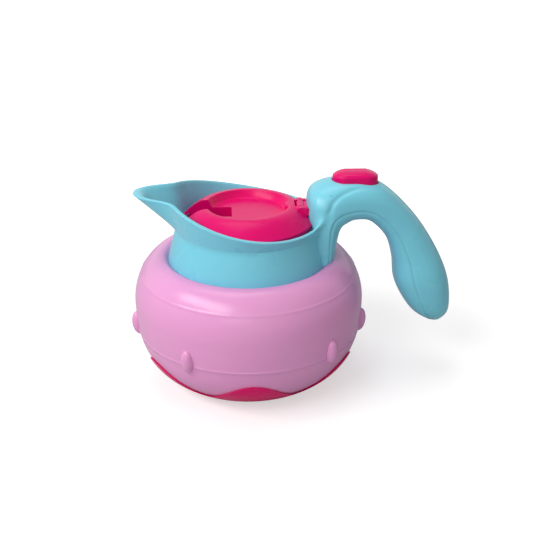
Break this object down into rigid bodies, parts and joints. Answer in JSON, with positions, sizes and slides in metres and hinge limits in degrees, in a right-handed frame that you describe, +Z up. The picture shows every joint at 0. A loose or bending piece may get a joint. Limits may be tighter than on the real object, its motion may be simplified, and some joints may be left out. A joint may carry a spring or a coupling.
{
  "type": "toy teapot",
  "caption": "Round toy pouring pot on a petal dish, with a flared beak collar, a free-ended hollow handle and a hinged slotted lid that tips open when the thumb button is pressed",
  "frame": {"origin": "centre of the rest face under the base dish, on the body's axis", "axes": "+X towards the handle, -X towards the beak, +Z up; the beak, the handle and the lid are symmetric about Y = 0"},
  "size_m": [0.1556, 0.11, 0.1037],
  "materials": {
    "pink_plastic": "satin-glossy moulded plastic",
    "aqua_plastic": "satin-glossy moulded plastic",
    "magenta_plastic": "glossy moulded plastic",
    "steel": "bright zinc-plated steel"
  },
  "bodies": {
    "pot": {"base_dish": "magenta_plastic", "base_screws": "steel", "lower_bowl": "pink_plastic", "upper_bowl": "pink_plastic", "neck_collar": "aqua_plastic", "handle_shell": "aqua_plastic", "handle_cover": "aqua_plastic", "handle_screws": "steel", "hinge_block": "magenta_plastic", "block_screws": "steel", "lid_pin": "steel", "button_spring": "steel"},
    "lid_body": {"lid": "magenta_plastic"},
    "button_body": {"button": "magenta_plastic"}
  },
  "joints": [
    {"name": "lid_hinge", "type": "hinge", "parent": "pot", "child": "lid_body", "pos_m": [0.0247, 0, 0.0854], "axis": [0, 1, 0], "range_deg": [0, 35]},
    {"name": "button_slide", "type": "slide", "parent": "pot", "child": "button_body", "axis": [0, 0, -1], "range_m": [0, 0.0034], "stiffness_N_per_m": 20, "springref_m": -0.002, "deforming": ["button_spring"]}
  ],
  "couplings": [
    {"joint": "button_slide", "follows": "lid_hinge", "m_per_rad": 0.0055}
  ]
}
